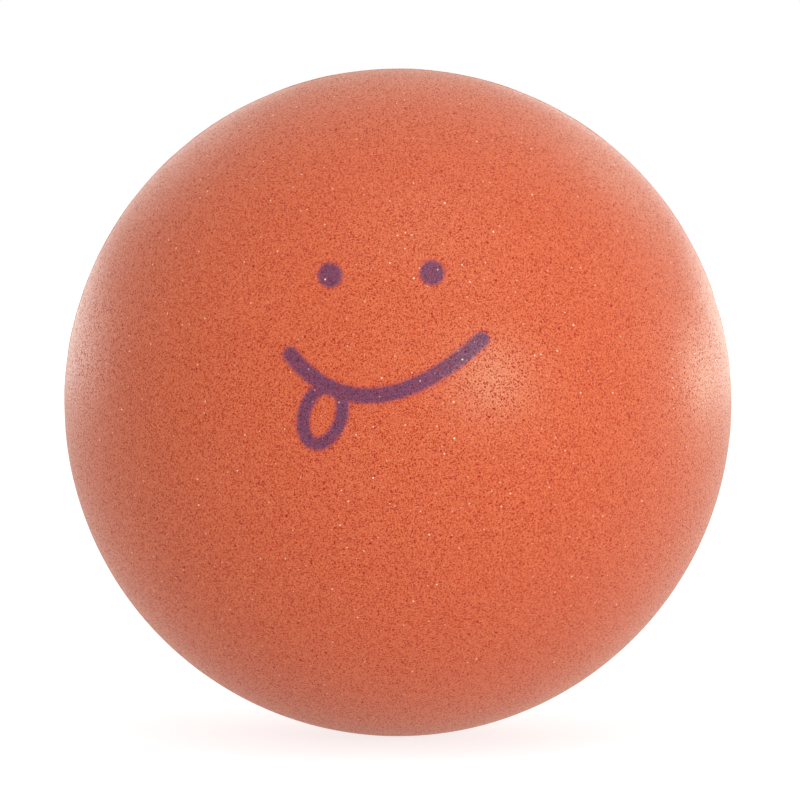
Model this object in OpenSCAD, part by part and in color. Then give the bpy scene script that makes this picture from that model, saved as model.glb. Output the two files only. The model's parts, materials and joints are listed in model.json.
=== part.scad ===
// Juggling ball: a moulded foam ball with its own dense skin, and a doodled face printed on it.
// The origin is the ball's centre, +Z is up, and the face looks along -Y.
// The face is a flat drawing in X and Z. It is pressed onto the ball along Y, as a printing pad does,
// and the ink soaks into the skin, so each mark is a thin inlay that lies flush with the skin.

/* [Ball] */
// Diameter of the ball
ball_d = 70; // [60:1:80]
// Thickness of the dense skin round the foam
skin_t = 1; // [0.6:0.1:2]
// Depth to which the ink soaks into the skin
ink_depth = 0.3; // [0.1:0.05:0.5]

/* [Eyes] */
// Diameter of each eye
eye_d = 2.4; // [1.6:0.1:3.6]
// Left eye, distance to the left of the ball's middle
left_eye_out = 6.75; // [4:0.05:9]
// Left eye, height above the ball's middle
left_eye_up = 14.35; // [12:0.05:18]
// Right eye, distance to the right of the ball's middle
right_eye_out = 3.4; // [2.5:0.05:9]
// Right eye, height above the ball's middle
right_eye_up = 14.6; // [12:0.05:18]

/* [Mouth] */
// Width of the mouth's stroke
mouth_w = 1.53; // [1.2:0.01:1.8]
// Left corner, distance to the left of the ball's middle
left_corner_out = 10.65; // [10:0.05:12]
// Left corner, height above the ball's middle
left_corner_up = 6.5; // [6:0.1:9]
// Right corner, distance to the right of the ball's middle
right_corner_out = 8.3; // [7:0.05:11]
// Right corner, height above the ball's middle
right_corner_up = 8; // [6:0.1:9]

/* [Tongue] */
// Width of the tongue's stroke
tongue_w = 1.27; // [1:0.01:1.4]
// Width of the tongue's loop, between the middles of its strokes
tongue_loop_w = 3.65; // [3.2:0.05:4]
// Length of the tongue's loop, between the middles of its strokes
tongue_loop_l = 5.9; // [5.6:0.05:6.4]
// Lean of the loop, its top towards the right, in degrees
tongue_lean = 18.5; // [14:0.5:22]

/* [Hidden] */

ball_r = ball_d / 2;
past = 1;             // how far a cutting shape runs past the ball's surface
sphere_fn = 144;
circle_fn = 64;

// The mouth is one cubic curve: its two corners, and the two points that pull it down between them
mouth_curve = [
    [-left_corner_out, left_corner_up],
    [-7.3, 2.3],
    [-1.1, -0.4],
    [right_corner_out, right_corner_up]
];
mouth_steps = 32;
cap_steps = 10;

// The tongue is an ellipse, left open at the top, where its ends run into the mouth's stroke
tongue_centre = [-7.45, 0.57];
tongue_gap = 25;
tongue_steps = 48;

function cubic(p, t) =
    pow(1 - t, 3) * p[0] + 3 * pow(1 - t, 2) * t * p[1] + 3 * (1 - t) * t * t * p[2] + pow(t, 3) * p[3];
function cubic_way(p, t) =
    pow(1 - t, 2) * (p[1] - p[0]) + 2 * (1 - t) * t * (p[2] - p[1]) + t * t * (p[3] - p[2]);
function angle_of(v) = atan2(v[1], v[0]);
function at_angle(a, r) = r * [cos(a), sin(a)];

// One side of a stroke along the mouth's curve, side being 1 for its left and -1 for its right
function mouth_side(side) = [
    for (i = [0:mouth_steps])
        let (t = i / mouth_steps, way = angle_of(cubic_way(mouth_curve, t)))
        cubic(mouth_curve, t) + at_angle(way + side * 90, mouth_w / 2)
];
// A round end at one of the mouth's corners, turning clockwise from the angle "from", without its two ends
function mouth_cap(corner, from) = [
    for (i = [1:cap_steps - 1]) corner + at_angle(from - 180 * i / cap_steps, mouth_w / 2)
];

// A point on the tongue's ellipse, counted from its top, moved out by "out"
function tongue_point(a, out) =
    let (
        half_w = tongue_loop_w / 2,
        half_l = tongue_loop_l / 2,
        straight_out = angle_of([sin(a) / half_w, cos(a) / half_l])
    )
    [half_w * sin(a), half_l * cos(a)] + at_angle(straight_out, out);
function tongue_side(out) = [
    for (i = [0:tongue_steps])
        tongue_point(tongue_gap + (360 - 2 * tongue_gap) * i / tongue_steps, out)
];
function backwards(points) = [for (i = [len(points) - 1:-1:0]) points[i]];

module eye_drawing(out, up) {
    translate([out, up])
        circle(d = eye_d, $fn = circle_fn);
}

module mouth_drawing() {
    start_way = angle_of(cubic_way(mouth_curve, 0));
    end_way = angle_of(cubic_way(mouth_curve, 1));
    polygon(concat(
        mouth_side(1),
        mouth_cap(mouth_curve[3], end_way + 90),
        backwards(mouth_side(-1)),
        mouth_cap(mouth_curve[0], start_way - 90)
    ));
}

module tongue_drawing() {
    difference() {
        translate(tongue_centre)
            rotate(-tongue_lean)
                polygon(concat(tongue_side(tongue_w / 2), backwards(tongue_side(-tongue_w / 2))));
        mouth_drawing();
    }
}

// Carries a flat drawing forwards from the ball's middle, X to X and Y to Z, as a prism past its face
module carried_to_face() {
    rotate([90, 0, 0])
        linear_extrude(height = ball_r + past)
            children();
}

module ball(r) {
    sphere(r = r, $fn = sphere_fn);
}

// A drawing as ink: what its prism shares with the outer ink_depth of the ball
module ink() {
    color("#6E4B73")
        difference() {
            intersection() {
                ball(ball_r);
                carried_to_face() children();
            }
            ball(ball_r - ink_depth);
        }
}

// The pocket that a drawing's ink fills, open at the surface
module pocket() {
    difference() {
        carried_to_face() children();
        ball(ball_r - ink_depth);
    }
}

module foam_core() {
    color("#F0A080")
        ball(ball_r - skin_t);
}

module skin() {
    color("#E46F4B")
        difference() {
            ball(ball_r);
            ball(ball_r - skin_t);
            pocket() eye_drawing(-left_eye_out, left_eye_up);
            pocket() eye_drawing(right_eye_out, right_eye_up);
            pocket() mouth_drawing();
            pocket() tongue_drawing();
        }
}

module left_eye_print() {
    ink() eye_drawing(-left_eye_out, left_eye_up);
}

module right_eye_print() {
    ink() eye_drawing(right_eye_out, right_eye_up);
}

module mouth_print() {
    ink() mouth_drawing();
}

module tongue_print() {
    ink() tongue_drawing();
}

foam_core();
skin();
left_eye_print();
right_eye_print();
mouth_print();
tongue_print();
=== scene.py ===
"""Looks of the moulded foam juggling ball: its porous skin, the foam inside it and the printed face.

Lengths are in metres, in the frame's own axes: the origin is the ball's centre, +Z is up, and the
printed face looks along -Y.
"""

import json
import math

import bpy
import numpy as np
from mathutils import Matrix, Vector, noise


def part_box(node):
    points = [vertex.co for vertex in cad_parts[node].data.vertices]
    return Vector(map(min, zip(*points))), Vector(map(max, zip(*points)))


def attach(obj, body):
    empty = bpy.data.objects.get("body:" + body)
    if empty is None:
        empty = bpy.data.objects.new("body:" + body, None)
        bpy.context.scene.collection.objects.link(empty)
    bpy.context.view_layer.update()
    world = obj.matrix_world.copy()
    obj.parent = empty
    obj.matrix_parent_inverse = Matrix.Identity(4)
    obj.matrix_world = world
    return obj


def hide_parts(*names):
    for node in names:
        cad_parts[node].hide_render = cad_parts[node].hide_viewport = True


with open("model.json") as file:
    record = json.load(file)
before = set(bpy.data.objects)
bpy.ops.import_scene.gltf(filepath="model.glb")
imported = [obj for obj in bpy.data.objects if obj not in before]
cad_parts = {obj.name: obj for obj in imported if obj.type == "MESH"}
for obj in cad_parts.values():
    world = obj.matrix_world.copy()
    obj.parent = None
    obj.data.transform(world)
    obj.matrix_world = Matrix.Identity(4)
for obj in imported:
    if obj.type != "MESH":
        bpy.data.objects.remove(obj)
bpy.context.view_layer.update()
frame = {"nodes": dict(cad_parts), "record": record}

MM = 0.001

# ---------------------------------------------------------------- sizes from the frame

cup_rest = frame["record"]["mounts"][0]
BALL_R = cup_rest["dims"]["r_mm"] * MM
FLOOR_Z = cup_rest["pos_m"][2]
CORE_R = (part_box("foam_core")[1].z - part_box("foam_core")[0].z) / 2
eye_mesh = frame["nodes"]["left_eye_print"].data
INK_DEPTH = BALL_R - min(v.co.length for v in eye_mesh.vertices)

# ---------------------------------------------------------------- the printed drawing, in X and Z

MOUTH_W = 1.53 * MM
MOUTH_CURVE = np.array([(-10.65, 6.5), (-7.3, 2.3), (-1.1, -0.4), (8.3, 8.0)]) * MM
TONGUE_W = 1.27 * MM
TONGUE_CENTRE = np.array((-7.45, 0.57)) * MM
TONGUE_LOOP = np.array((3.65, 5.9)) * MM  # its width and length, between the middles of its strokes
TONGUE_LEAN = math.radians(18.5)
TONGUE_GAP = math.radians(25)  # the loop is open this far to either side of its top

FRINGE = 0.36 * MM  # how far a print's film runs past the edge of its stroke, where the ink frays
PRINT_STEP = 0.2 * MM  # length of a print's mesh cells along the stroke
PRINT_ROWS = 12  # mesh cells across a stroke
CAP_TURNS = 10  # mesh cells round the end of a stroke
DOT_TURNS = 40  # mesh cells round a dot
CURVE_STEPS = 400  # points that a curve is measured with before it is cut into cells
TRIM_STEPS = 20  # places that a trimmed stroke's end is looked for, in each of its cells
TONGUE_TUCK = 0.1 * MM  # how far the tongue's ends run in under the mouth's edge
PRINT_PROUD = 0.02 * MM  # how far a print's film stands above the skin
TONGUE_PROUD = 0.012 * MM  # a little lower, so that the mouth covers the tongue's ends
FILM_ANGLE = math.radians(40)  # a film's top and side meet at a sharper edge than this

# ---------------------------------------------------------------- relief of the skin

PEEL_SIZE = 2.6 * MM  # gentle unevenness that the mould leaves
PEEL_HEIGHT = 0.006 * MM
SEAM_WIDTH = 0.17 * MM  # ridge where the mould's two halves met, in the plane Y = 0
SEAM_HEIGHT = 0.085 * MM
SEAM_UNEVEN = 0.35  # share by which the ridge's height varies along it
SEAM_UNEVEN_SIZE = 3 * MM
SCAR_R = 2.4 * MM  # trimmed vent scar at the back
SCAR_DEPTH = 0.12 * MM
SCAR_EDGE = 0.5 * MM  # width of the slope from the scar's rim down to its floor
SCAR_LIP = 0.08 * MM  # height of the lip round the scar
SCAR_LIP_WIDTH = 0.35 * MM
SCAR_UNEVEN = 0.07  # share by which the scar's radius varies round it
SCAR_UNEVEN_SIZE = 1.5 * MM
SEAM_SEED, SCAR_SEED = 2.0, 4.0  # keep their noises apart from the mould's unevenness

# ---------------------------------------------------------------- cells of the round meshes

SKIN_CELLS = 110  # along each edge of the six grids that make up a round surface
INNER_CELLS = 40
CORE_CELLS = 100
SURROUND_CELLS = 12
SEAM_CELLS = 10  # narrow rows that carry the parting ridge
SEAM_HALF = math.radians(0.7)  # half the angle that those rows cover

# ---------------------------------------------------------------- torn cells of the foam core

CELL_SIZE = 1.7 * MM
CELL_DEPTH = 0.28 * MM
CELL_WALL = 2.2  # higher makes the walls between the cells thinner
CORE_GAP = 0.04 * MM  # mean clearance between the tops of the walls and the skin
CORE_GAP_SIZE = 0.9 * MM  # features of the noise that varies it


def smooth_step(value, start, end):
    """0 before start, 1 after end, and smooth between them."""
    t = np.clip((value - start) / (end - start), 0, 1)
    return t * t * (3 - 2 * t)


def noise_at(points, size, seed=0.0):
    """Smooth noise from -1 to 1 at each point, with features of this size."""
    shift = Vector((seed, -seed, 2 * seed))
    return np.array([noise.noise(Vector(p) / size + shift) for p in points])


def scar_distance(points):
    """How far each point is from the middle of the vent scar, along the skin and a little uneven."""
    out = np.hypot(points[:, 0], points[:, 2]) * (
        1 + SCAR_UNEVEN * noise_at(points, SCAR_UNEVEN_SIZE, SCAR_SEED)
    )
    return np.where(points[:, 1] > 0, out, BALL_R)


def skin_relief(ways):
    """Height of the skin above the plain ball in each of these directions."""
    at = ways * BALL_R
    height = PEEL_HEIGHT * noise_at(at, PEEL_SIZE)
    seam = np.exp(-((at[:, 1] / SEAM_WIDTH) ** 2))
    height += SEAM_HEIGHT * seam * (1 + SEAM_UNEVEN * noise_at(at, SEAM_UNEVEN_SIZE, SEAM_SEED))
    scar = scar_distance(at)
    height -= SCAR_DEPTH * (1 - smooth_step(scar, SCAR_R - SCAR_EDGE, SCAR_R))
    height += SCAR_LIP * np.exp(-(((scar - SCAR_R) / SCAR_LIP_WIDTH) ** 2))
    return height


# ---------------------------------------------------------------- mesh building


def mesh_object(name, points, faces, smooth_angle=None):
    """A mesh object at the origin, shaded smooth, with edges sharper than smooth_angle left sharp."""
    mesh = bpy.data.meshes.new(name)
    mesh.from_pydata([tuple(p) for p in points], [], [tuple(f) for f in faces])
    mesh.shade_smooth()
    if smooth_angle is not None:
        mesh.set_sharp_from_angle(angle=smooth_angle)
    made = bpy.data.objects.new(name, mesh)
    bpy.context.scene.collection.objects.link(made)
    return made


def sphere_grid(cells, seam_cells=0):
    """Directions and quads of a sphere made of six square grids.

    With seam_cells, the grids that cross the plane Y = 0 have that many narrow rows along it.
    """
    edge = math.radians(45)
    even = np.linspace(-edge, edge, cells + 1)
    along_y = even
    if seam_cells:
        half = np.linspace(SEAM_HALF, edge, cells // 2)
        middle = np.linspace(-SEAM_HALF, SEAM_HALF, seam_cells + 1)
        along_y = np.concatenate((-half[:0:-1], middle, half[1:]))
    points = []
    quads = []
    count = 0
    for axis in range(3):
        spans = [along_y if other == 1 else even for other in ((axis + 1) % 3, (axis + 2) % 3)]
        u, v = np.meshgrid(np.tan(spans[0]), np.tan(spans[1]), indexing="ij")
        index = np.arange(u.size).reshape(u.shape)
        corners = (index[:-1, :-1], index[1:, :-1], index[1:, 1:], index[:-1, 1:])
        quad = np.stack([c.ravel() for c in corners], axis=1)
        for side in (1, -1):
            face = np.empty((u.size, 3))
            face[:, axis] = side
            face[:, (axis + 1) % 3] = u.ravel()
            face[:, (axis + 2) % 3] = v.ravel()
            points.append(face)
            quads.append((quad if side == 1 else quad[:, ::-1]) + count)
            count += u.size
    points = np.concatenate(points)
    points /= np.linalg.norm(points, axis=1)[:, None]
    _, first, welded = np.unique(np.round(points, 7), axis=0, return_index=True, return_inverse=True)
    return points[first], welded.ravel()[np.concatenate(quads)]


# ---------------------------------------------------------------- skin and foam


def make_skin():
    """The dense skin: its relief outside, and a plain round inside where the foam begins."""
    ways, quads = sphere_grid(SKIN_CELLS, seam_cells=SEAM_CELLS)
    inner_ways, inner_quads = sphere_grid(INNER_CELLS)
    outside = ways * (BALL_R + skin_relief(ways))[:, None]
    inside = inner_ways * CORE_R
    points = np.concatenate((outside, inside))
    faces = [*quads.tolist(), *(inner_quads[:, ::-1] + len(ways)).tolist()]
    return mesh_object("foam_skin", points, faces)


def make_core():
    """The foam: open cells, torn a little unevenly, that stand just under the skin."""
    ways, quads = sphere_grid(CORE_CELLS)
    walls = []
    for way in ways:
        near = noise.voronoi(Vector(way) * (CORE_R / CELL_SIZE))[0]
        walls.append(1 - min(1.0, (near[1] - near[0]) * CELL_WALL))
    gap = CORE_GAP * (1 + noise_at(ways * CORE_R, CORE_GAP_SIZE))
    radius = CORE_R - CELL_DEPTH * (1 - np.array(walls)) - gap
    return mesh_object("foam_body", ways * radius[:, None], quads.tolist())


# ---------------------------------------------------------------- prints


def cubic(points, t):
    """Points of a cubic curve at each t."""
    t = t[:, None]
    return (
        (1 - t) ** 3 * points[0]
        + 3 * (1 - t) ** 2 * t * points[1]
        + 3 * (1 - t) * t**2 * points[2]
        + t**3 * points[3]
    )


def evenly(points, step):
    """The same line with its points about step apart."""
    run = np.concatenate(([0], np.cumsum(np.hypot(*np.diff(points, axis=0).T))))
    at = np.linspace(0, run[-1], max(2, round(run[-1] / step) + 1))
    return np.stack([np.interp(at, run, points[:, i]) for i in (0, 1)], axis=1)


def mouth_line():
    return evenly(cubic(MOUTH_CURVE, np.linspace(0, 1, CURVE_STEPS)), PRINT_STEP)


def tongue_line():
    """The loop from the right of its gap, clockwise, back to the left of it."""
    a = np.linspace(TONGUE_GAP, 2 * math.pi - TONGUE_GAP, CURVE_STEPS)
    x = TONGUE_LOOP[0] / 2 * np.sin(a)
    z = TONGUE_LOOP[1] / 2 * np.cos(a)
    c = math.cos(-TONGUE_LEAN)
    s = math.sin(-TONGUE_LEAN)
    return evenly(TONGUE_CENTRE + np.stack((x * c - z * s, x * s + z * c), axis=1), PRINT_STEP)


def inside_stroke(at, line, width):
    """How far each point is inside the edge of a stroke, and below 0 where it is outside."""
    nearest = np.full(len(at), np.inf)
    for a, b in zip(line[:-1], line[1:]):
        way = b - a
        t = np.clip((at - a) @ way / (way @ way), 0, 1)
        nearest = np.minimum(nearest, np.hypot(*(at - a - t[:, None] * way).T))
    return width / 2 - nearest


def straight_out(line):
    """Unit directions at right angles to a line, towards its left."""
    way = np.gradient(line, axis=0)
    way /= np.hypot(*way.T)[:, None]
    return np.stack((-way[:, 1], way[:, 0]), axis=1)


def stroke_grid(line, width):
    """Rows of points along a stroke, from its right edge to its left one, as (rows, columns, 2)."""
    offsets = np.linspace(-1, 1, PRINT_ROWS + 1) * (width / 2 + FRINGE)
    return line[None] + offsets[:, None, None] * straight_out(line)[None]


def grid_faces(index):
    """Quads between the rows and columns of an array of point numbers."""
    corners = (index[:-1, :-1], index[:-1, 1:], index[1:, 1:], index[1:, :-1])
    return np.stack([c.ravel() for c in corners], axis=1).tolist()


def cap(points, faces, end, forwards):
    """Closes a stroke's end with a round cap.

    end holds the end column's point numbers, right edge first. forwards is 1 at the stroke's far end
    and -1 at its start.
    """
    middle = PRINT_ROWS // 2
    centre = points[end[middle]]
    rings = []
    for row in range(middle + 1, PRINT_ROWS + 1):
        reach = points[end[row]] - centre
        ring = [end[row]]
        for i in range(1, CAP_TURNS):
            a = -forwards * math.pi * i / CAP_TURNS
            c = math.cos(a)
            s = math.sin(a)
            ring.append(len(points))
            points.append(centre + np.array((reach[0] * c - reach[1] * s, reach[0] * s + reach[1] * c)))
        rings.append([*ring, end[PRINT_ROWS - row]])
    for i in range(CAP_TURNS):
        faces.append([end[middle], rings[0][i + 1], rings[0][i]][::forwards])
        for inner, outer in zip(rings[:-1], rings[1:]):
            faces.append([inner[i], inner[i + 1], outer[i + 1], outer[i]][::forwards])


def capsule(line, width):
    """Flat points and faces of a stroke with round ends."""
    grid = stroke_grid(line, width)
    index = np.arange(grid.shape[0] * grid.shape[1]).reshape(grid.shape[:2])
    points = list(grid.reshape(-1, 2))
    faces = grid_faces(index)
    cap(points, faces, index[:, -1].tolist(), 1)
    cap(points, faces, index[:, 0].tolist(), -1)
    return np.array(points), faces


def disc(centre, width):
    """Flat points and faces of a round dot, in rings."""
    rings = PRINT_ROWS // 2 + 2
    points = [centre]
    faces = []
    for ring in range(1, rings + 1):
        reach = (width / 2 + FRINGE) * ring / rings
        for i in range(DOT_TURNS):
            a = 2 * math.pi * i / DOT_TURNS
            points.append(centre + reach * np.array((math.cos(a), math.sin(a))))
    for i in range(DOT_TURNS):
        j = (i + 1) % DOT_TURNS
        faces.append([0, 1 + i, 1 + j])
        for ring in range(rings - 1):
            inner = 1 + ring * DOT_TURNS
            outer = inner + DOT_TURNS
            faces.append([inner + i, outer + i, outer + j, inner + j])
    return np.array(points), faces


def points_along(row, shares):
    """Points at these shares, from 0 to 1, of the way through a row of points."""
    run = np.linspace(0, 1, len(row))
    return np.stack([np.interp(shares, run, row[:, i]) for i in (0, 1)], axis=1)


def trimmed_stroke(line, width, tuck, edge_line, edge_width):
    """Flat points and faces of a stroke whose two ends stop just inside the edge of another stroke."""
    rows = []
    for row in stroke_grid(line, width):
        fine = np.linspace(0, 1, TRIM_STEPS * len(row))
        clear = fine[inside_stroke(points_along(row, fine), edge_line, edge_width) < tuck]
        rows.append(points_along(row, np.linspace(clear[0], clear[-1], len(row))))
    grid = np.array(rows)
    index = np.arange(grid.shape[0] * grid.shape[1]).reshape(grid.shape[:2])
    return grid.reshape(-1, 2), grid_faces(index)


def rim_of(faces):
    """The outline's edges, each as the two point numbers in its face's order."""
    edges = {(a, b) for face in faces for a, b in zip(face, [*face[1:], face[0]])}
    return [(a, b) for a, b in edges if (b, a) not in edges]


def print_film(name, flat, faces, proud, inked):
    """A flat drawing pressed onto the ball: a thin closed film that follows the skin and sinks into it.

    "inked" holds how far each point is inside the drawing's edge, which the ink material reads.
    """
    x, z = flat.T
    ways = np.stack((x, -np.sqrt(BALL_R**2 - x**2 - z**2), z), axis=1) / BALL_R
    top = ways * (BALL_R + proud + skin_relief(ways))[:, None]
    bottom = ways * (BALL_R - INK_DEPTH)
    count = len(flat)
    all_faces = [*faces, *[[i + count for i in reversed(f)] for f in faces]]
    all_faces += [[b, a, a + count, b + count] for a, b in sorted(rim_of(faces))]
    made = mesh_object(name, np.concatenate((top, bottom)), all_faces, FILM_ANGLE)
    layer = made.data.attributes.new("inside_edge", "FLOAT", "POINT")
    layer.data.foreach_set("value", np.concatenate((inked, inked)).astype(np.float32) / MM)
    return made


def make_eye(node, name):
    """A dot as wide as the CAD node's, and in its place."""
    low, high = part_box(node)
    centre = np.array(((low.x + high.x) / 2, (low.z + high.z) / 2))
    width = high.x - low.x
    flat, faces = disc(centre, width)
    return print_film(name, flat, faces, PRINT_PROUD, width / 2 - np.hypot(*(flat - centre).T))


def drawn(flat):
    """How far each point is inside the mouth or the tongue, whichever holds it better."""
    mouth = inside_stroke(flat, mouth_line(), MOUTH_W)
    return np.maximum(mouth, inside_stroke(flat, tongue_line(), TONGUE_W))


def make_mouth():
    flat, faces = capsule(mouth_line(), MOUTH_W)
    return print_film("mouth_ink", flat, faces, PRINT_PROUD, drawn(flat))


def make_tongue():
    """The loop, which ends a little inside the mouth's stroke and lies a little lower than it."""
    flat, faces = trimmed_stroke(tongue_line(), TONGUE_W, TONGUE_TUCK, mouth_line(), MOUTH_W)
    return print_film("tongue_ink", flat, faces, TONGUE_PROUD, drawn(flat))


# ---------------------------------------------------------------- what the materials look like

SKIN_DARK = (0.475, 0.029, 0.0)
SKIN_LIGHT = (0.65, 0.155, 0.069)
SHADE_TINY = (3.6, -1.22)  # contrast and offset of the fine grain between dark and light
SHADE_BROAD = (0.12, -0.06)  # the same for the slow change over the ball
TINY_SIZE = 0.1 * MM
BROAD_SIZE = 5 * MM
PLAIN = 1.0  # detail of a noise with few features finer than its size

# Each kind of pore: the distance between pores, their radius, how much of the radius is deep, and
# how strong a pore is, as a share that varies from pore to pore plus one that all have.
PORES = (
    (0.21 * MM, 0.083 * MM, 0.7, (0.55, 0.45)),
    (0.48 * MM, 0.12 * MM, 0.5, (0.8, 0.2)),
    (0.9 * MM, 0.16 * MM, 0.5, (1.0, 0.0)),
)
# Painted shade: the pores are darkened in the skin's colour, as the shade inside them would be.
PORE_SHADE_COLOUR = (0.30, 0.0, 0.0)
# Painted highlights: pale flecks in the colour stand in for tiny glints off the skin.
GLINT_FLECK_SPACING = 0.8 * MM
GLINT_FLECK_R = 0.09 * MM
GLINT_FLECK_RARITY = 2.0  # higher leaves fewer flecks strong
PAINTED_GLINT_COLOUR = (0.95, 0.77, 0.58)
BUMP_TINY = 0.5  # height of the fine grain beside the depth of a pore
BUMP_DEPTH = 0.01 * MM

IOR = 1.5
SPECULAR_LEVEL = 0.38
SKIN_ROUGHNESS = 0.38
PORE_ROUGHNESS = 0.5  # how much rougher a pore is than the skin round it
SHEEN = 0.12
SHEEN_ROUGHNESS = 0.5
SHEEN_TINT = (0.85, 1.0, 0.68)
SKIN_SHINE = (0.5, 1.0, 0.7)
INK_SHINE = (0.55, 0.8, 0.72)

SCAR_WALL = (0.61, 0.135, 0.058)
# Painted shade: the bare cells are darker than their walls, as the shade in them would be.
SCAR_CELL_SHADE = (0.28, 0.02, 0.0)
SCAR_SHARE = 0.85  # how much of the skin's own colour the bare cells replace
SCAR_GRAIN_SIZE = 0.8 * MM  # unevenness of the bare patch's outline
SCAR_GRAIN = 1.6 * MM
SCAR_BACK = 1 * MM  # the patch fades in over this distance behind the plane Y = 0
BARE_CELLS = (0.34 * MM, 0.19 * MM, 0.35)  # spacing, radius and how much of the radius is deep
BARE_STRENGTH = (0.6, 0.4)

INK_BLUE = (0.084, 0.036, 0.108)
INK_RED = (0.172, 0.021, 0.052)
# Painted shade: the ink is darkened in its pores, as the shade in them would be.
INK_PORE_SHADE = (0.05, 0.01, 0.03)
INK_PORE_SHADE_SHARE = 0.7
INK_COVER = 0.94
INK_SHADE = (1.0, 0.5)  # how the skin's shade carries through the ink
INK_SPECK_SIZE = 0.14 * MM
INK_SPECK_EDGES = (0.35, 0.65)
FRAY_SIZE = 0.2 * MM
FRAY = (0.5, -0.25)  # the grain moves the ink's edge by up to a quarter of a millimetre either way
INK_EDGES = (-0.30, 0.26)  # millimetres inside the stroke's edge where the ink starts and is full

FOAM_WALL_DARK = (0.68, 0.16, 0.075)
FOAM_WALL_LIGHT = (0.80, 0.25, 0.13)
# Painted shade: the foam's cells are darker than their walls, as the shade inside them would be.
FOAM_CELL_SHADE = (0.32, 0.04, 0.015)
FOAM_CELLS = (0.45 * MM, 0.24 * MM, 0.2)
FOAM_GRAIN_SIZE = 0.2 * MM
FOAM_ROUGHNESS = (0.15, 0.8)  # how much the grain adds, and the least
FOAM_BUMP_GRAIN = 0.4
FOAM_BUMP_DEPTH = 0.1 * MM

# ---------------------------------------------------------------- material building


def new_material(name):
    material = bpy.data.materials.new(name)
    material.use_nodes = True
    material.node_tree.nodes.clear()
    return material, material.node_tree


def set_input(tree, socket, value):
    """Links value to the socket if it is a socket itself, or sets the socket to it."""
    if isinstance(value, bpy.types.NodeSocket):
        tree.links.new(value, socket)
    else:
        socket.default_value = value


def coordinates(tree):
    return tree.nodes.new("ShaderNodeTexCoord").outputs["Object"]


def maths(tree, operation, a, b=0.0):
    made = tree.nodes.new("ShaderNodeMath")
    made.operation = operation
    set_input(tree, made.inputs[0], a)
    set_input(tree, made.inputs[1], b)
    return made.outputs[0]


def scaled(tree, value, by, plus):
    """value * by + plus."""
    made = maths(tree, "MULTIPLY_ADD", value, by)
    made.node.inputs[2].default_value = plus
    return made


def mixed(tree, share, a, b, blend="MIX"):
    """Colour a, or b where share is 1.

    A Mix node has sockets of the same name for numbers and colours, so they are taken by place.
    """
    made = tree.nodes.new("ShaderNodeMix")
    made.data_type = "RGBA"
    made.blend_type = blend
    for place, value in ((0, share), (6, a), (7, b)):
        if isinstance(value, tuple):
            value = (*value, 1)
        set_input(tree, made.inputs[place], value)
    return made.outputs[2]


def ramp(tree, value, start, end):
    """0 where value is start, 1 where it is end, and smooth between them."""
    made = tree.nodes.new("ShaderNodeMapRange")
    made.interpolation_type = "SMOOTHSTEP"
    set_input(tree, made.inputs["Value"], value)
    set_input(tree, made.inputs["From Min"], start)
    set_input(tree, made.inputs["From Max"], end)
    return made.outputs["Result"]


def grain(tree, at, size, detail=2.0):
    """Noise from 0 to 1 with features of this size."""
    made = tree.nodes.new("ShaderNodeTexNoise")
    set_input(tree, made.inputs["Vector"], at)
    made.inputs["Scale"].default_value = 1 / size
    made.inputs["Detail"].default_value = detail
    return made.outputs[0]


def spots(tree, at, spacing, radius, soft=0.5):
    """1 inside small round spots and 0 outside, with a random number from 0 to 1 for each spot.

    A spot's radius is 0.7 to 1.3 times the one given.
    """
    made = tree.nodes.new("ShaderNodeTexVoronoi")
    set_input(tree, made.inputs["Vector"], at)
    made.inputs["Scale"].default_value = 1 / spacing
    parts = tree.nodes.new("ShaderNodeSeparateColor")
    tree.links.new(made.outputs["Color"], parts.inputs[0])
    reach = scaled(tree, parts.outputs[1], 0.6 * radius / spacing, 0.7 * radius / spacing)
    inner = maths(tree, "MULTIPLY", reach, soft)
    return ramp(tree, made.outputs["Distance"], reach, inner), parts.outputs[0]


def uneven_spots(tree, at, spacing, radius, soft, strength):
    """Spots that are each as strong as their random number says.

    strength holds what that number is multiplied by, and what is then added.
    """
    inside, random = spots(tree, at, spacing, radius, soft)
    return maths(tree, "MULTIPLY", inside, scaled(tree, random, *strength))


def skin_pores(tree, at):
    """The strongest of the kinds of pore at each place."""
    pore = uneven_spots(tree, at, *PORES[0])
    for kind in PORES[1:]:
        pore = maths(tree, "MAXIMUM", pore, uneven_spots(tree, at, *kind))
    return pore


def skin_pattern(tree):
    """The skin's colour, with painted shade in its pores and painted highlights as pale flecks, its
    shade from dark to light, its pores, its flecks and its height.
    """
    at = coordinates(tree)
    pore = skin_pores(tree, at)
    # Painted highlights: pale flecks that stand in for tiny glints, fixed in the colour.
    painted_glints, painted_glint_random = spots(tree, at, GLINT_FLECK_SPACING, GLINT_FLECK_R)
    painted_glint = maths(tree, "MULTIPLY", painted_glints, maths(tree, "POWER", painted_glint_random, GLINT_FLECK_RARITY))
    tiny = grain(tree, at, TINY_SIZE, PLAIN)
    broad = grain(tree, at, BROAD_SIZE)
    shade = maths(tree, "ADD", scaled(tree, tiny, *SHADE_TINY), scaled(tree, broad, *SHADE_BROAD))
    colour = mixed(tree, shade, SKIN_DARK, SKIN_LIGHT)
    # Painted shade: each pore darkens the colour, as the shade in its hollow would.
    colour = mixed(tree, pore, colour, PORE_SHADE_COLOUR)
    height = maths(tree, "SUBTRACT", scaled(tree, tiny, BUMP_TINY, 0.0), pore)
    return colour, shade, pore, painted_glint, height


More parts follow.
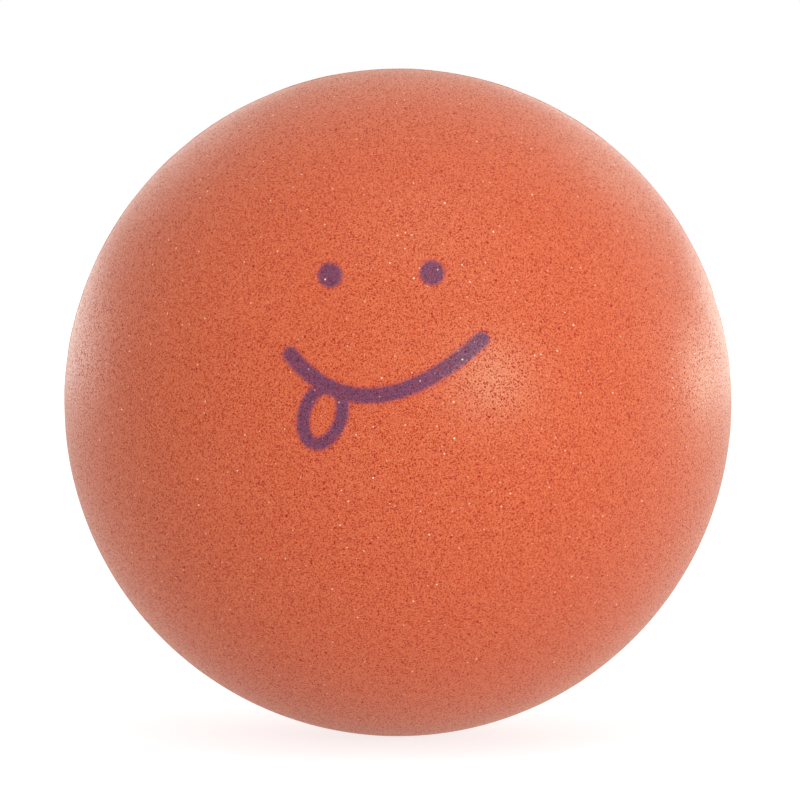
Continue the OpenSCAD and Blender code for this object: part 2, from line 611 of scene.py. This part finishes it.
def shader(tree, colour, roughness, height, depth):
    """A Principled surface with these sockets, and bumps of this depth."""
    bump = tree.nodes.new("ShaderNodeBump")
    bump.inputs["Distance"].default_value = depth
    set_input(tree, bump.inputs["Height"], height)
    made = tree.nodes.new("ShaderNodeBsdfPrincipled")
    set_input(tree, made.inputs["Base Color"], colour)
    set_input(tree, made.inputs["Roughness"], roughness)
    tree.links.new(bump.outputs["Normal"], made.inputs["Normal"])
    made.inputs["IOR"].default_value = IOR
    made.inputs["Specular IOR Level"].default_value = SPECULAR_LEVEL
    output = tree.nodes.new("ShaderNodeOutputMaterial")
    tree.links.new(made.outputs[0], output.inputs["Surface"])
    return made


def downy(surface, shine):
    """The pale bloom of a fine open texture at a glancing angle, and the tint of its shine."""
    surface.inputs["Sheen Weight"].default_value = SHEEN
    surface.inputs["Sheen Roughness"].default_value = SHEEN_ROUGHNESS
    surface.inputs["Sheen Tint"].default_value = (*SHEEN_TINT, 1)
    surface.inputs["Specular Tint"].default_value = (*shine, 1)


def scar_mask(tree):
    """1 on the vent scar, where the skin was trimmed off, and 0 elsewhere."""
    at = coordinates(tree)
    parts = tree.nodes.new("ShaderNodeSeparateXYZ")
    tree.links.new(at, parts.inputs[0])
    x, y, z = parts.outputs
    squares = maths(tree, "ADD", maths(tree, "MULTIPLY", x, x), maths(tree, "MULTIPLY", z, z))
    uneven = scaled(tree, grain(tree, at, SCAR_GRAIN_SIZE), SCAR_GRAIN, -SCAR_GRAIN / 2)
    out = maths(tree, "ADD", maths(tree, "SQRT", squares), uneven)
    inside = ramp(tree, out, SCAR_R, SCAR_R - SCAR_EDGE)
    return maths(tree, "MULTIPLY", inside, ramp(tree, y, 0.0, SCAR_BACK))


def foam_skin_material():
    """The skin, and the bare cells where its vent scar was trimmed."""
    material, tree = new_material("foam_skin")
    colour, _, pore, painted_glint, height = skin_pattern(tree)
    # Painted highlights: the pale glint flecks are mixed into the skin's colour.
    colour = mixed(tree, painted_glint, colour, PAINTED_GLINT_COLOUR)
    cells = uneven_spots(tree, coordinates(tree), *BARE_CELLS, BARE_STRENGTH)
    # Painted shade: the bare cells of the scar are darkened in the colour.
    bare = mixed(tree, cells, SCAR_WALL, SCAR_CELL_SHADE)
    colour = mixed(tree, maths(tree, "MULTIPLY", scar_mask(tree), SCAR_SHARE), colour, bare)
    roughness = scaled(tree, pore, PORE_ROUGHNESS, SKIN_ROUGHNESS)
    downy(shader(tree, colour, roughness, height, BUMP_DEPTH), SKIN_SHINE)
    return material


def ink_material():
    """Violet ink in the skin's own surface. It frays at the stroke's edge and misses a few grains."""
    material, tree = new_material("ink")
    skin, shade, pore, painted_glint, height = skin_pattern(tree)
    at = coordinates(tree)
    speck = ramp(tree, grain(tree, at, INK_SPECK_SIZE, PLAIN), *INK_SPECK_EDGES)
    ink = mixed(tree, speck, INK_BLUE, INK_RED)
    ink = mixed(tree, 1.0, ink, scaled(tree, shade, *INK_SHADE), "MULTIPLY")
    # Painted shade: the pores darken the ink.
    ink = mixed(tree, maths(tree, "MULTIPLY", pore, INK_PORE_SHADE_SHARE), ink, INK_PORE_SHADE)
    inside = tree.nodes.new("ShaderNodeAttribute")
    inside.attribute_name = "inside_edge"
    frayed = scaled(tree, grain(tree, at, FRAY_SIZE), *FRAY)
    cover = ramp(tree, maths(tree, "ADD", inside.outputs["Fac"], frayed), *INK_EDGES)
    colour = mixed(tree, maths(tree, "MULTIPLY", cover, INK_COVER), skin, ink)
    # Painted highlights: the pale glint flecks are mixed into the colour over the ink too.
    colour = mixed(tree, painted_glint, colour, PAINTED_GLINT_COLOUR)
    roughness = scaled(tree, pore, PORE_ROUGHNESS, SKIN_ROUGHNESS)
    downy(shader(tree, colour, roughness, height, BUMP_DEPTH), INK_SHINE)
    return material


def foam_material():
    """Open foam: pale walls round cells darkened with painted shade."""
    material, tree = new_material("foam")
    at = coordinates(tree)
    cells, cell_random = spots(tree, at, *FOAM_CELLS)
    tiny = grain(tree, at, FOAM_GRAIN_SIZE)
    wall = mixed(tree, tiny, FOAM_WALL_DARK, FOAM_WALL_LIGHT)
    colour = mixed(tree, maths(tree, "MULTIPLY", cells, cell_random), wall, FOAM_CELL_SHADE)
    roughness = scaled(tree, tiny, *FOAM_ROUGHNESS)
    height = maths(tree, "SUBTRACT", maths(tree, "MULTIPLY", tiny, FOAM_BUMP_GRAIN), cells)
    shader(tree, colour, roughness, height, FOAM_BUMP_DEPTH)
    return material


# ---------------------------------------------------------------- floor, light and camera

FLOOR_REACH = 3.0
FLOOR_SIDES = 96
SURROUND_R = 1.5 * FLOOR_REACH
BOUNCE_BELOW = 1 * MM
FLOOR_LOOK = (0.35, 0.78)  # grey of the surface, and how brightly it glows
BOUNCE_LOOK = (0.5, 0.52)
SURROUND_LOOK = (0.0, 1.0)
ACRYLIC_ROUGHNESS = 0.9

WORLD_STRENGTH = 0.85
KEY_WAY = (37.5, 8)  # azimuth and elevation
KEY_DISTANCE = 1.6
KEY_SIZE = 0.5
KEY_RADIANCE = 19.4
GLEAM_WAY = (32.0, 10.5)  # nearly the key's
GLEAM_DISTANCE = 0.06  # from the skin
GLEAM_SIZE = 0.022
GLEAM_RADIANCE = 16.0

# Each light's name, azimuth, elevation, distance, width, height, radiance and, unless white, colour.
LIGHTS = (
    ("front_top", 20, 60, 1.6, 1.2, 1.2, 1.15),
    ("rim_right", 126, -2, 1.4, 0.32, 0.5, 13.5, (0.75, 1.0, 0.88)),
    ("rim_left", -130, 1, 1.4, 0.5, 0.6, 2.1),
    ("back_right", 150, 0, 1.4, 0.6, 0.5, 2.9, (0.8, 1.0, 0.92)),
    ("back_left", -150, 0, 1.4, 0.6, 0.5, 2.0),
    ("behind_right", 168, 4, 1.4, 0.4, 0.8, 1.35),
    ("behind_left", -168, 4, 1.4, 0.4, 0.8, 1.15),
    ("back_top", 180, 50, 1.6, 1.4, 0.8, 0.1),
    ("top_right", 144, 31, 1.4, 0.5, 0.5, 1.5, (0.65, 1.0, 0.88)),
    ("top_left", -152, 26, 1.4, 0.5, 0.5, 0.9),
)

CAMERA_WAY = (0, 3)  # azimuth and elevation of the photograph's view
CAMERA_DISTANCE = 0.6
CAMERA_SENSOR = 36  # millimetres, as the lens is
CAMERA_LENS = 256.8
CAMERA_AIM = Vector((0.22, 0, 0.29)) * MM
CAMERA_CLIP = (0.05, 20)


def lit_from_behind(name, base, glow):
    """A material like backlit acrylic: it glows, and takes light and shadow as its grey, base, says."""
    material, tree = new_material(name)
    made = tree.nodes.new("ShaderNodeBsdfPrincipled")
    made.inputs["Base Color"].default_value = (base, base, base, 1)
    made.inputs["Roughness"].default_value = ACRYLIC_ROUGHNESS
    made.inputs["Specular IOR Level"].default_value = 0.0
    made.inputs["Emission Color"].default_value = (1, 1, 1, 1)
    made.inputs["Emission Strength"].default_value = glow
    output = tree.nodes.new("ShaderNodeOutputMaterial")
    tree.links.new(made.outputs[0], output.inputs["Surface"])
    return material


def make_floor(name, height, look):
    """A wide pale disc under the ball."""
    angles = np.linspace(0, 2 * math.pi, FLOOR_SIDES, endpoint=False)
    ring = [(FLOOR_REACH * math.cos(a), FLOOR_REACH * math.sin(a), height) for a in angles]
    made = mesh_object(name, ring, [list(range(len(ring)))])
    made.data.materials.append(lit_from_behind(name, *look))
    return made


def make_surroundings():
    """A white floor and a white surround, for the camera only.

    A greyer floor just under the first, which the camera doesn't see, lights the ball in their place.
    """
    seen = make_floor("floor", FLOOR_Z, FLOOR_LOOK)
    bounce = make_floor("floor_bounce", FLOOR_Z - BOUNCE_BELOW, BOUNCE_LOOK)
    ways, quads = sphere_grid(SURROUND_CELLS)
    surround = mesh_object("surround", ways * SURROUND_R, quads[:, ::-1].tolist())
    surround.data.materials.append(lit_from_behind("surround", *SURROUND_LOOK))
    bounce.visible_camera = False
    for made in (seen, surround):
        made.visible_diffuse = False
        made.visible_glossy = False
    surround.visible_shadow = False


def towards(azimuth, elevation):
    """The direction from the ball to this azimuth, 0 in front and 90 to the right, and elevation."""
    a = math.radians(azimuth)
    e = math.radians(elevation)
    return Vector((math.sin(a) * math.cos(e), -math.cos(a) * math.cos(e), math.sin(e)))


def softbox(name, place, aim, width, height, radiance, colour=(1, 1, 1)):
    """An oval softbox at a place, facing another. radiance is how bright its face is, 1 being white."""
    data = bpy.data.lights.new(name, "AREA")
    data.color = colour
    data.shape = "ELLIPSE"
    data.size = width
    data.size_y = height
    data.energy = radiance * math.pi * (math.pi / 4 * width * height)
    made = bpy.data.objects.new(name, data)
    made.location = place
    made.rotation_euler = (aim - place).to_track_quat("-Z", "Y").to_euler()
    made.visible_camera = False
    bpy.context.scene.collection.objects.link(made)
    return made


def soft_light(name, azimuth, elevation, distance, *shape):
    """A softbox that faces the ball from this way and distance."""
    return softbox(name, towards(azimuth, elevation) * distance, Vector(), *shape)


def key_light():
    """The key light, and its gleam on the skin.

    The gleam comes from a small softbox in nearly the same direction, held so close that it does
    not glance off the top of the ball towards a camera behind it.
    """
    key = soft_light("key", *KEY_WAY, KEY_DISTANCE, KEY_SIZE, KEY_SIZE, KEY_RADIANCE)
    key.visible_glossy = False
    way = towards(*GLEAM_WAY)
    spot = (way + towards(*CAMERA_WAY)).normalized() * BALL_R
    place = spot + way * GLEAM_DISTANCE
    gleam = softbox("key_gleam", place, spot, GLEAM_SIZE, GLEAM_SIZE, GLEAM_RADIANCE)
    gleam.visible_diffuse = False


def light_scene():
    world = bpy.data.worlds.new("studio")
    world.use_nodes = True
    background = world.node_tree.nodes["Background"]
    background.inputs["Color"].default_value = (1, 1, 1, 1)
    background.inputs["Strength"].default_value = WORLD_STRENGTH
    bpy.context.scene.world = world
    key_light()
    for name, *shape in LIGHTS:
        soft_light(name, *shape)


def place_camera():
    """The photograph's view: from the front, a little above the ball's middle, through a long lens."""
    data = bpy.data.cameras.new("camera")
    data.sensor_width = CAMERA_SENSOR
    data.lens = CAMERA_LENS
    data.clip_start, data.clip_end = CAMERA_CLIP
    camera = bpy.data.objects.new("camera", data)
    camera.location = towards(*CAMERA_WAY) * CAMERA_DISTANCE
    camera.rotation_euler = (CAMERA_AIM - camera.location).to_track_quat("-Z", "Y").to_euler()
    bpy.context.scene.collection.objects.link(camera)
    bpy.context.scene.camera = camera


# ---------------------------------------------------------------- putting it together


def finish_piece(piece, material, node):
    """Gives the piece its material, and puts it in the place of its CAD node."""
    piece.data.materials.append(material)
    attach(piece, "root")
    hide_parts(node)


skin = make_skin()
finish_piece(skin, foam_skin_material(), "skin")

core = make_core()
finish_piece(core, foam_material(), "foam_core")

ink = ink_material()
finish_piece(make_eye("left_eye_print", "left_eye_ink"), ink, "left_eye_print")
finish_piece(make_eye("right_eye_print", "right_eye_ink"), ink, "right_eye_print")
finish_piece(make_mouth(), ink, "mouth_print")
finish_piece(make_tongue(), ink, "tongue_print")

make_surroundings()
light_scene()
place_camera()
bpy.context.scene.view_settings.view_transform = "Standard"
